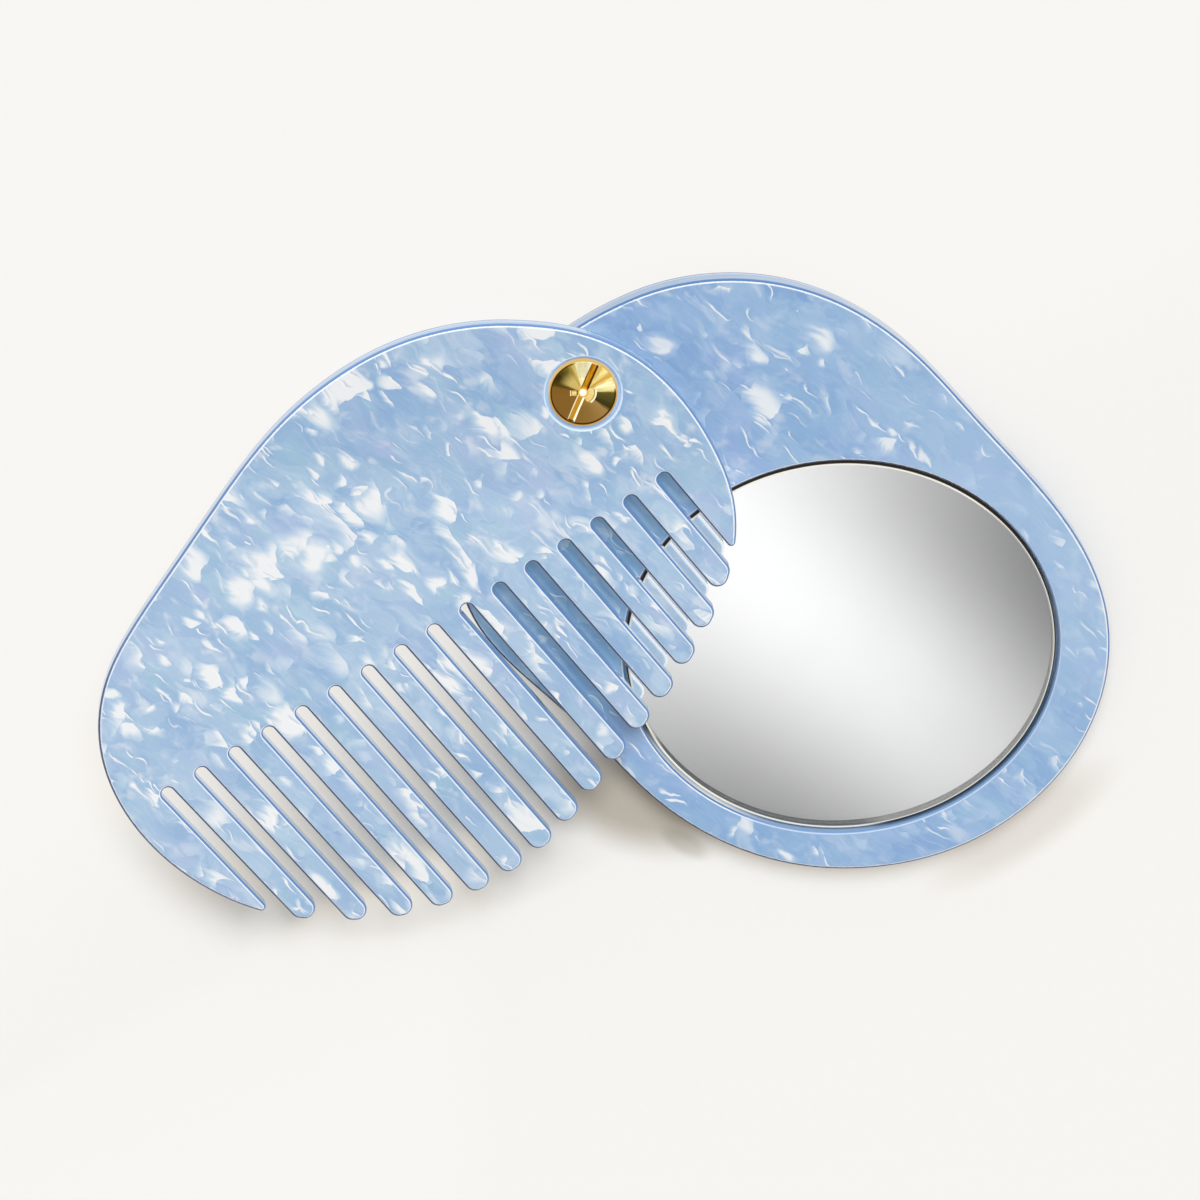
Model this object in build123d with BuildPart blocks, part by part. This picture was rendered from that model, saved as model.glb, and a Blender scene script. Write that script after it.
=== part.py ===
from build123d import *
from math import cos, radians, sin
import os

# Folding pocket mirror with comb: two acetate plates on one slotted pivot screw.
# The frame plate lies flat on its back at z = 0 with the glass facing +Z, and the
# comb plate is swung open over its left side. Millimetres, +Z is normal to the plates.
# The origin is the middle of the open outline's bounding box, on the resting face.

# ---------------------------------------------------------------- dimensions
PIVOT = (-3.744, 32.149)       # pivot axis in the plane of the plates

FRAME_T = 4.2                # frame plate thickness
COMB_T = 3.0                 # comb plate thickness
GAP = 2.3                    # free space between the plates, filled at the pivot by washers
COMB_Z = FRAME_T + GAP       # underside of the comb
TOP_Z = COMB_Z + COMB_T      # comb face
FRAME_EDGE_R = 0.55          # rounding of the frame's outer edges
COMB_EDGE_R = 0.55           # rounding of the comb's outer edges and teeth

# oval glass, centre measured from the pivot axis
GLASS_C = (38.3, -40.4)
GLASS_A, GLASS_B = 31.35, 27.85      # half axes of the glass
GLASS_TURN = 1.6                     # degrees
GLASS_T = 1.8
GLASS_BEVEL = 0.45                   # seamed edge of the glass
POCKET_GAP = 0.35                    # clearance all round the glass
POCKET_FLOOR = 1.4                   # z of the pocket floor
ADHESIVE_T = 0.2
POCKET_EDGE_R = 0.5

# comb teeth
SLOT_N = 16
SLOT_W = 1.85
SLOT_L = 52.0                        # long enough to run out through the outline
TIP_R = 1.6                          # rounding of the tooth tips
END_TIP_R = 0.65                     # rounding of the two pointed end teeth

# pivot hardware
HEAD_R = 5.0                 # slotted head and rear flange
HEAD_T = 1.2
HEAD_SINK = 0.2              # head rim below the comb face
HEAD_RIM = 0.28              # flat width of the head's rim
DISH = 0.5                   # depth of the dished face at its middle
BOSS_R = 2.0                 # low boss in the middle of the dish
NUB_R = 0.75                 # turning nub in the middle of the driver slot
SCREW_SLOT_W = 0.95
SCREW_SLOT_D = 0.85
SCREW_SLOT_TURN = 67.6       # degrees
POST_R = 2.5                 # tubular post of the barrel
THREAD_R = 1.5               # screw shank in the post
THREAD_END = 2.6             # z of the shank's end
COMB_BORE_R = 2.55           # running clearance on the post
SINK_R = 5.5                 # counterbore in the comb
SINK_EDGE_R = 0.3
HEAD_WASHER_T = 0.25
FRAME_BORE_R = 2.52          # the post sits snugly in the frame
REAR_SINK_R = 5.15           # counterbore in the frame's back
REAR_HEAD_T = 1.0
REAR_SINK = 1.2
WASHER_R = 6.0
WASHER_T = 0.7
SPRING_T = 0.3
PLAY = 0.02                  # axial play of the comb

HEAD_TOP = TOP_Z - HEAD_SINK
HEAD_BASE = HEAD_TOP - HEAD_T
POST_TOP = HEAD_BASE
SINK_FLOOR = HEAD_BASE - HEAD_WASHER_T - PLAY

# outline of the frame plate, from the pivot axis
FRAME_PTS = [
    (6.8, 12.4), (18.1, 15.3), (29.7, 14.5), (40.5, 10.1), (49.7, 2.8), (57.5, -5.9),
    (65.3, -14.6), (72.4, -24.0), (76.9, -34.9), (76.9, -46.7), (72.4, -57.6), (64.3, -66.3),
    (53.9, -72.0), (42.3, -74.3), (30.6, -73.4), (19.6, -69.2), (10.1, -62.3), (2.1, -53.9),
    (-6.4, -45.9), (-14.9, -36.4), (-18.3, -25.6), (-17.1, -13.2), (-11.8, -2.4), (-3.4, 6.4),
]
# outline of the comb plate, from the pivot axis; the lower right run carries the tooth tips
COMB_PTS = [
    (-10.3, 10.5), (-19.6, 9.8), (-28.5, 7.0), (-36.5, 2.3), (-43.5, -3.8), (-49.4, -11.0),
    (-54.6, -18.7), (-59.8, -26.6), (-64.9, -34.5), (-68.9, -42.8), (-69.9, -52.2), (-67.2, -61.1),
    (-61.7, -68.7), (-54.1, -74.7), (-44.8, -78.6), (-35.9, -79.7), (-26.7, -79.3), (-17.6, -76.8),
    (-9.4, -72.3), (-2.4, -66.1), (3.3, -58.8), (8.8, -51.2), (14.2, -43.5), (18.7, -35.2),
    (21.75, -26.5), (22.2, -17.2), (19.1, -8.3), (14.1, -0.6), (7.3, 5.6), (-1.0, 9.3),
]


def slot_root(k):
    """Closed end of slot k, from the pivot axis: the roots lie on a shallow arc."""
    x = -60.437 + 4.9535 * k - 0.02196 * k ** 2 + 0.000696 * k ** 3
    y = -59.461 + 3.0572 * k - 0.00821 * k ** 2 + 0.000908 * k ** 3
    return x, y


def slot_angle(k):
    """Direction of slot k in degrees: the teeth fan out slightly."""
    return -47.825 - 0.735 * k + 0.0841 * k ** 2 - 0.00327 * k ** 3


def at(z):
    """Sketch plane at height z with its origin on the pivot axis."""
    return Plane(origin=(PIVOT[0], PIVOT[1], z))


# ---------------------------------------------------------------- frame plate
with BuildPart() as mirror_frame:
    with BuildSketch(at(0)):
        with BuildLine():
            Spline(*FRAME_PTS, periodic=True)
        make_face()
    extrude(amount=FRAME_T)
    rim = mirror_frame.faces().sort_by(Axis.Z)
    fillet(list(rim[-1].edges()) + list(rim[0].edges()), radius=FRAME_EDGE_R)
    # pocket for the glass
    with BuildSketch(at(POCKET_FLOOR)):
        with Locations(GLASS_C):
            Ellipse(GLASS_A + POCKET_GAP, GLASS_B + POCKET_GAP, rotation=GLASS_TURN)
    extrude(amount=FRAME_T, mode=Mode.SUBTRACT)
    pocket = mirror_frame.faces().sort_by(Axis.Z)[-1].inner_wires()[0].edges()
    fillet(pocket, radius=POCKET_EDGE_R)
    # post bore, and the rear flange's counterbore from the back
    with BuildSketch(at(0)):
        Circle(FRAME_BORE_R)
    extrude(amount=FRAME_T, mode=Mode.SUBTRACT)
    with BuildSketch(at(0)):
        Circle(REAR_SINK_R)
    extrude(amount=REAR_SINK, mode=Mode.SUBTRACT)
mirror_frame.part.label = "mirror_frame"
export_step(mirror_frame.part, "parts/mirror_frame.step")

# ---------------------------------------------------------------- glass and its adhesive
with BuildPart() as mirror_adhesive:
    with BuildSketch(at(POCKET_FLOOR)):
        with Locations(GLASS_C):
            Ellipse(GLASS_A - 1.5, GLASS_B - 1.5, rotation=GLASS_TURN)
    extrude(amount=ADHESIVE_T)
mirror_adhesive.part.label = "mirror_adhesive"
export_step(mirror_adhesive.part, "parts/mirror_adhesive.step")

with BuildPart() as mirror_glass:
    with BuildSketch(at(POCKET_FLOOR + ADHESIVE_T)):
        with Locations(GLASS_C):
            Ellipse(GLASS_A, GLASS_B, rotation=GLASS_TURN)
    extrude(amount=GLASS_T)
    chamfer(mirror_glass.faces().sort_by(Axis.Z)[-1].edges(), length=GLASS_BEVEL)
mirror_glass.part.label = "mirror_glass"
export_step(mirror_glass.part, "parts/mirror_glass.step")

# ---------------------------------------------------------------- comb plate
with BuildPart() as comb:
    with BuildSketch(at(COMB_Z)):
        with BuildLine():
            Spline(*COMB_PTS, periodic=True)
        make_face()
    extrude(amount=COMB_T)
    with BuildSketch(at(COMB_Z)):
        for k in range(SLOT_N):
            x, y = slot_root(k)
            a = radians(slot_angle(k))
            reach = SLOT_W / 2 + SLOT_L / 2
            with Locations((x + reach * cos(a), y + reach * sin(a))):
                SlotCenterToCenter(SLOT_L, SLOT_W, rotation=slot_angle(k))
    extrude(amount=COMB_T, mode=Mode.SUBTRACT)

    # corners of the tooth tips: the vertical edges well away from the slot roots
    roots = [slot_root(k) for k in range(SLOT_N)]
    ends = [(-45.0, -78.0), (22.6, -22.8)]
    tips, end_tips = [], []
    for e in comb.edges().filter_by(lambda e: abs(e.tangent_at(0.5).Z) > 0.999):
        ex, ey = e.center().X - PIVOT[0], e.center().Y - PIVOT[1]
        if min((ex - x) ** 2 + (ey - y) ** 2 for x, y in roots) < 25 or ey > 5:
            continue
        near_end = min((ex - x) ** 2 + (ey - y) ** 2 for x, y in ends) < 4
        (end_tips if near_end else tips).append(e)
    print("tip corners", len(tips), "end corners", len(end_tips))
    fillet(tips, radius=TIP_R)
    end_tips = [
        e for e in comb.edges().filter_by(lambda e: abs(e.tangent_at(0.5).Z) > 0.999)
        if min((e.center().X - PIVOT[0] - x) ** 2 + (e.center().Y - PIVOT[1] - y) ** 2 for x, y in ends) < 4
    ]
    print("end corners", len(end_tips))
    fillet(end_tips, radius=END_TIP_R)
    # soften every edge of both faces, teeth and slots included
    faces = comb.faces().sort_by(Axis.Z)
    fillet(list(faces[-1].edges()) + list(faces[0].edges()), radius=COMB_EDGE_R)
    # counterbore for the slotted head, and the bore that turns on the post
    with BuildSketch(at(SINK_FLOOR)):
        Circle(SINK_R)
    extrude(amount=TOP_Z - SINK_FLOOR, mode=Mode.SUBTRACT)
    sink_edge = [
        e for e in comb.edges().filter_by(GeomType.CIRCLE)
        if abs(e.radius - SINK_R) < 1e-3 and abs(e.center().Z - TOP_Z) < 1e-3
    ]
    fillet(sink_edge, radius=SINK_EDGE_R)
    with BuildSketch(at(COMB_Z)):
        Circle(COMB_BORE_R)
    extrude(amount=COMB_T, mode=Mode.SUBTRACT)
comb.part.label = "comb"
export_step(comb.part, "parts/comb.step")

# ---------------------------------------------------------------- pivot barrel
# rear flange with its driver slot, and the tubular post that the comb turns on
with BuildPart() as pivot_barrel:
    with BuildSketch(at(REAR_SINK - REAR_HEAD_T)):
        Circle(HEAD_R)
    extrude(amount=REAR_HEAD_T)
    chamfer(pivot_barrel.faces().sort_by(Axis.Z)[0].edges(), length=0.2)
    with BuildSketch(at(REAR_SINK)):
        Circle(POST_R)
    extrude(amount=POST_TOP - REAR_SINK)
    with BuildSketch(at(REAR_SINK - REAR_HEAD_T)):
        Rectangle(8.0, SCREW_SLOT_W, rotation=20)
    extrude(amount=0.5, mode=Mode.SUBTRACT)
    with BuildSketch(at(THREAD_END - 0.4)):
        Circle(THREAD_R)
    extrude(amount=POST_TOP - THREAD_END + 0.4, mode=Mode.SUBTRACT)
pivot_barrel.part.label = "pivot_barrel"
export_step(pivot_barrel.part, "parts/pivot_barrel.step")

# ---------------------------------------------------------------- pivot screw
# dished head with a thin rim, a blind driver slot and a turning nub at its centre
with BuildPart() as pivot_screw:
    with BuildSketch(Plane(origin=(PIVOT[0], PIVOT[1], HEAD_BASE), x_dir=(1, 0, 0), z_dir=(0, -1, 0))):
        with BuildLine():
            Polyline(
                (0, 0), (HEAD_R - 0.2, 0), (HEAD_R, 0.2), (HEAD_R, HEAD_T - 0.12),
                (HEAD_R - 0.12, HEAD_T), (HEAD_R - HEAD_RIM, HEAD_T), (HEAD_R - HEAD_RIM - 0.1, HEAD_T - 0.12),
                (BOSS_R + 0.12, HEAD_T - DISH), (BOSS_R, HEAD_T - DISH + 0.14), (0, HEAD_T - DISH + 0.14), close=True,
            )
        make_face()
    revolve(axis=Axis((PIVOT[0], PIVOT[1], 0), (0, 0, 1)))
    with BuildSketch(at(HEAD_BASE + HEAD_T - SCREW_SLOT_D)):
        Rectangle(2 * (HEAD_R - HEAD_RIM - 0.1), SCREW_SLOT_W, rotation=SCREW_SLOT_TURN)
    extrude(amount=SCREW_SLOT_D + 0.1, mode=Mode.SUBTRACT)
    with BuildSketch(at(HEAD_BASE + HEAD_T - SCREW_SLOT_D)):
        Circle(NUB_R)
    extrude(amount=SCREW_SLOT_D - DISH + 0.2)
    with BuildSketch(at(THREAD_END)):
        Circle(THREAD_R - 0.02)
    extrude(amount=HEAD_BASE - THREAD_END)
pivot_screw.part.label = "pivot_screw"
export_step(pivot_screw.part, "parts/pivot_screw.step")

# ---------------------------------------------------------------- washers
with BuildPart() as head_washer:
    with BuildSketch(at(HEAD_BASE - HEAD_WASHER_T)):
        Circle(HEAD_R - 0.1)
        Circle(POST_R + 0.05, mode=Mode.SUBTRACT)
    extrude(amount=HEAD_WASHER_T)
head_washer.part.label = "head_washer"
export_step(head_washer.part, "parts/head_washer.step")

with BuildPart() as lower_washer:
    with BuildSketch(at(FRAME_T)):
        Circle(WASHER_R)
        Circle(POST_R + 0.1, mode=Mode.SUBTRACT)
    extrude(amount=WASHER_T)
lower_washer.part.label = "lower_washer"
export_step(lower_washer.part, "parts/lower_washer.step")

with BuildPart() as upper_washer:
    with BuildSketch(at(COMB_Z - PLAY - WASHER_T)):
        Circle(WASHER_R)
        Circle(POST_R + 0.1, mode=Mode.SUBTRACT)
    extrude(amount=WASHER_T)
upper_washer.part.label = "upper_washer"
export_step(upper_washer.part, "parts/upper_washer.step")

# dished spring washer: outer edge on the lower washer, inner edge under the upper one
SPRING_Z0 = FRAME_T + WASHER_T
SPRING_Z1 = COMB_Z - PLAY - WASHER_T
with BuildPart() as spring_washer:
    with BuildSketch(Plane(origin=(PIVOT[0], PIVOT[1], 0), x_dir=(1, 0, 0), z_dir=(0, -1, 0))):
        with BuildLine():
            Polyline(
                (5.25, SPRING_Z0), (5.25 + 0.08, SPRING_Z0 + 0.97 * SPRING_T),
                (POST_R + 0.25, SPRING_Z1), (POST_R + 0.17, SPRING_Z1 - 0.97 * SPRING_T), close=True,
            )
        make_face()
    revolve(axis=Axis((PIVOT[0], PIVOT[1], 0), (0, 0, 1)))
spring_washer.part.label = "spring_washer"
export_step(spring_washer.part, "parts/spring_washer.step")

whole = Compound(children=[
    mirror_frame.part, mirror_glass.part, mirror_adhesive.part, comb.part, pivot_barrel.part,
    pivot_screw.part, head_washer.part, lower_washer.part, upper_washer.part, spring_washer.part,
])
box = whole.bounding_box()
print("overall", box.size, "middle", box.center())
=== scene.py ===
import math

import bmesh
import bpy
from mathutils import Matrix, Vector


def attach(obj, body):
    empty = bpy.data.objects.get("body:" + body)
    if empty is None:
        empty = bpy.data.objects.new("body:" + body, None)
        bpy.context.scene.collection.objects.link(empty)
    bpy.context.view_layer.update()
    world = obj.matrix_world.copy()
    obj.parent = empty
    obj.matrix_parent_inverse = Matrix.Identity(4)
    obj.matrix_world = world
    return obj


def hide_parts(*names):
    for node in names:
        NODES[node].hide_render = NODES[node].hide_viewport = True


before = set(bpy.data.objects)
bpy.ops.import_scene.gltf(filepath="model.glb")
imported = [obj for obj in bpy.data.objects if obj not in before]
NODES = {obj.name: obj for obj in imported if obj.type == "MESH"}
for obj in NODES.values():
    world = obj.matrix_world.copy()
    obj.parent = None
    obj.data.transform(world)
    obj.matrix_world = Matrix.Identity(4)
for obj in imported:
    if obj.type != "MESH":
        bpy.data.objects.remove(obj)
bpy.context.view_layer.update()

MM = 0.001

# ---------------------------------------------------------------- where the camera is

TILT, ROLL = math.radians(17.5), math.radians(12.0)
P3 = Vector((math.cos(ROLL), math.sin(ROLL), 0.0))
M3 = Vector((-math.sin(ROLL) * math.cos(TILT), math.cos(ROLL) * math.cos(TILT), -math.sin(TILT)))
RIGHT = math.cos(ROLL) * P3 - math.sin(ROLL) * M3
UP = math.sin(ROLL) * P3 + math.cos(ROLL) * M3
BACK = RIGHT.cross(UP)
TARGET = Vector((-1.022, 0.883, 9.4)) * MM
DIST = 3.0
EYE = TARGET + BACK * DIST

# ---------------------------------------------------------------- colours


def lin(c):
    c = c / 255.0
    return c / 12.92 if c <= 0.04045 else ((c + 0.055) / 1.055) ** 2.4


def rgb(r, g, b, gain=1.0):
    """An sRGB colour in 0-255 as a linear RGBA colour, times gain."""
    return (lin(r) * gain, lin(g) * gain, lin(b) * gain, 1.0)


# ---------------------------------------------------------------- node helper


class Tree:
    """Short names for the shader nodes used below. A socket or a plain value goes in, a socket comes out."""

    def __init__(self, name):
        self.mat = bpy.data.materials.new(name)
        self.mat.use_nodes = True
        self.t = self.mat.node_tree
        self.t.nodes.clear()
        self.out = self.t.nodes.new("ShaderNodeOutputMaterial")
        self.coord = self.t.nodes.new("ShaderNodeTexCoord")
        self.bsdf = None

    def node(self, kind, **props):
        n = self.t.nodes.new(kind)
        for k, v in props.items():
            setattr(n, k, v)
        return n

    def put(self, socket, value):
        if isinstance(value, bpy.types.NodeSocket):
            self.t.links.new(value, socket)
        elif value is not None:
            socket.default_value = value

    def m(self, op, a, b=None, c=None, clamp=False):
        n = self.node("ShaderNodeMath", operation=op, use_clamp=clamp)
        for i, v in enumerate((a, b, c)):
            self.put(n.inputs[i], v)
        return n.outputs[0]

    def v(self, op, a, b=None, scale=None):
        n = self.node("ShaderNodeVectorMath", operation=op)
        self.put(n.inputs[0], a)
        self.put(n.inputs[1], b)
        if scale is not None:
            self.put(n.inputs["Scale"], scale)
        return n.outputs["Value"] if op in ("DOT_PRODUCT", "LENGTH", "DISTANCE") else n.outputs[0]

    def xyz(self, x, y, z):
        n = self.node("ShaderNodeCombineXYZ")
        for i, v in enumerate((x, y, z)):
            self.put(n.inputs[i], v)
        return n.outputs[0]

    def split(self, vec):
        n = self.node("ShaderNodeSeparateXYZ")
        self.put(n.inputs[0], vec)
        return n.outputs

    def rgb_of(self, colour):
        n = self.node("ShaderNodeSeparateColor")
        self.put(n.inputs[0], colour)
        return n.outputs

    def noise(self, vec, scale=1.0, detail=2.0, rough=0.5, distortion=0.0):
        n = self.node("ShaderNodeTexNoise", noise_dimensions="3D")
        self.put(n.inputs["Vector"], vec)
        self.put(n.inputs["Scale"], scale)
        self.put(n.inputs["Detail"], detail)
        self.put(n.inputs["Roughness"], rough)
        self.put(n.inputs["Distortion"], distortion)
        return n.outputs

    def cells(self, vec, feature="F1", scale=1.0, randomness=1.0, smooth=None):
        n = self.node("ShaderNodeTexVoronoi", voronoi_dimensions="3D", feature=feature)
        self.put(n.inputs["Vector"], vec)
        self.put(n.inputs["Scale"], scale)
        self.put(n.inputs["Randomness"], randomness)
        if smooth is not None:
            self.put(n.inputs["Smoothness"], smooth)
        return n.outputs

    def span(self, value, a, b, c=0.0, d=1.0, smooth=True):
        n = self.node("ShaderNodeMapRange", interpolation_type="SMOOTHSTEP" if smooth else "LINEAR")
        for k, v in zip(("Value", "From Min", "From Max", "To Min", "To Max"), (value, a, b, c, d)):
            self.put(n.inputs[k], v)
        return n.outputs[0]

    def mix(self, fac, a, b, blend="MIX"):
        n = self.node("ShaderNodeMix", data_type="RGBA", blend_type=blend, clamp_factor=True)
        self.put(n.inputs[0], fac)
        self.put(n.inputs[6], a)
        self.put(n.inputs[7], b)
        return n.outputs[2]

    def turn(self, vec, angle):
        n = self.node("ShaderNodeVectorRotate", rotation_type="Z_AXIS")
        self.put(n.inputs["Vector"], vec)
        self.put(n.inputs["Angle"], angle)
        return n.outputs[0]

    def bump(self, height, strength, distance):
        n = self.node("ShaderNodeBump")
        self.put(n.inputs["Height"], height)
        self.put(n.inputs["Strength"], strength)
        self.put(n.inputs["Distance"], distance)
        return n.outputs[0]

    def principled(self, **sockets):
        self.bsdf = self.node("ShaderNodeBsdfPrincipled")
        for k, v in sockets.items():
            self.put(self.bsdf.inputs[k.replace("_", " ")], v)
        self.t.links.new(self.bsdf.outputs[0], self.out.inputs[0])
        return self.mat


# ---------------------------------------------------------------- acetate


def flakes(t, p, size, lean, spread, share, soft, seed, silk=0.25):
    """One layer of pearl flakes. Each glows towards one side, in silk streaks, thins out at its ends and stops at its edge.
    p is in mm. size is the cell in mm; lean is the side they brighten to; share is the share of cells that shine.
    Returns (brightness 0-1, cell tone 0-1)."""
    q = t.v("ADD", t.v("SCALE", p, scale=1.0 / size), seed)
    cell = t.cells(q)
    rand = t.rgb_of(cell["Color"])
    away = t.v("SUBTRACT", q, cell["Position"])
    d = t.v("NORMALIZE", t.v("ADD", lean, t.v("SCALE", t.v("SUBTRACT", cell["Color"], (0.5, 0.5, 0.5)), scale=spread)))
    along = t.v("DOT_PRODUCT", away, d)
    ds = t.split(d)
    side = t.v("DOT_PRODUCT", away, t.xyz(t.m("MULTIPLY", ds[1], -1.0), ds[0], 0.0))
    streak = t.noise(t.xyz(t.m("MULTIPLY", along, 0.9), t.m("MULTIPLY", side, 8.0), t.m("MULTIPLY", rand[2], 40.0)), 1.0, 2.0, 0.6)[0]
    ramp = t.span(t.m("ADD", along, t.m("MULTIPLY", t.m("SUBTRACT", streak, 0.5), silk)), soft[0], soft[1])
    body = t.span(t.v("LENGTH", t.xyz(t.m("SUBTRACT", along, 0.20), t.m("MULTIPLY", side, 1.40), 0.0)), 0.20, 0.68, 1.0, 0.0)
    lit = t.span(rand[1], 1.0 - share - 0.12, 1.0 - share + 0.12)
    return t.m("MULTIPLY", t.m("MULTIPLY", ramp, body), lit), rand[0]


def crescents(t, p, size, lean, spread, share, wide, bow, reach, seed):
    """Fine bright curls, one in some of the cells: a bowed line across the cell, with a shaded line behind it.
    wide is the line's half width in mm. Returns (bright, shade), each 0-1."""
    q = t.v("ADD", t.v("SCALE", p, scale=1.0 / size), seed)
    cell = t.cells(q)
    rand = t.rgb_of(cell["Color"])
    away = t.v("SUBTRACT", q, cell["Position"])
    d = t.v("NORMALIZE", t.v("ADD", lean, t.v("SCALE", t.v("SUBTRACT", cell["Color"], (0.5, 0.5, 0.5)), scale=spread)))
    along = t.v("DOT_PRODUCT", away, d)
    ds = t.split(d)
    side = t.v("DOT_PRODUCT", away, t.xyz(t.m("MULTIPLY", ds[1], -1.0), ds[0], 0.0))
    # a bow, and a turn the other way at one end
    bend = t.m("MULTIPLY", t.m("MULTIPLY", side, side), t.m("MULTIPLY", t.m("SUBTRACT", rand[2], 0.5), bow))
    curl = t.m("MULTIPLY", t.m("POWER", t.m("ABSOLUTE", side), 3.0), t.m("MULTIPLY", t.m("SUBTRACT", rand[0], 0.5), t.m("MULTIPLY", t.m("SIGN", side), bow * 3.0)))
    off = t.m("ADD", along, t.m("ADD", bend, curl))
    body = t.m("MULTIPLY", t.span(t.m("ABSOLUTE", side), reach * 0.35, reach, 1.0, 0.0), t.span(rand[1], 1.0 - share - 0.02, 1.0 - share + 0.02))
    w = wide / size
    # the line swells to one end
    w2 = t.span(side, -reach, reach, w * 0.45, w * 1.6)
    line = t.m("SUBTRACT", 1.0, t.m("DIVIDE", t.m("ABSOLUTE", off), w2), clamp=True)
    back = t.m("SUBTRACT", 1.0, t.m("DIVIDE", t.m("ABSOLUTE", t.m("SUBTRACT", off, w * 2.2)), w * 2.0), clamp=True)
    return t.m("MULTIPLY", t.span(line, 0.0, 0.75), body), t.m("MULTIPLY", back, body)


PIVOT = Vector((-3.744, 32.149)) * MM
OVAL_MID = PIVOT + Vector((38.3, -40.4)) * MM
HALF_A, HALF_B = 31.35 * MM, 27.85 * MM
OVAL_TURN = math.radians(1.6)


def from_pivot(t, obj):
    """Distance from the pivot's axis in mm, and the two coordinates from it in mm."""
    x, y, _ = t.split(t.v("SCALE", t.v("SUBTRACT", obj, (PIVOT.x, PIVOT.y, 0.0)), scale=1000.0))
    return t.m("SQRT", t.m("ADD", t.m("MULTIPLY", x, x), t.m("MULTIPLY", y, y))), x, y


def from_oval(t, obj):
    """How far inside the glass's outline a point is, in mm, and its two coordinates over the half axes."""
    v = t.turn(t.v("SUBTRACT", obj, (OVAL_MID.x, OVAL_MID.y, 0.0)), -OVAL_TURN)
    x, y, _ = t.split(v)
    x, y = t.m("MULTIPLY", x, 1 / HALF_A), t.m("MULTIPLY", y, 1 / HALF_B)
    rho = t.m("SQRT", t.m("ADD", t.m("MULTIPLY", x, x), t.m("MULTIPLY", y, y)))
    gx, gy = t.m("MULTIPLY", x, MM / HALF_A), t.m("MULTIPLY", y, MM / HALF_B)
    slope = t.m("SQRT", t.m("ADD", t.m("MULTIPLY", gx, gx), t.m("MULTIPLY", gy, gy)))
    return t.m("MULTIPLY", t.m("SUBTRACT", 1.0, rho), t.m("DIVIDE", rho, slope)), x, y


def far_side(t, x, y):
    """1 where the glass's border is thinnest to see, round its right and lower right."""
    return t.span(t.m("ADD", t.m("MULTIPLY", x, 0.80), t.m("MULTIPLY", y, -0.60)), 0.0, 0.35)


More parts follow.
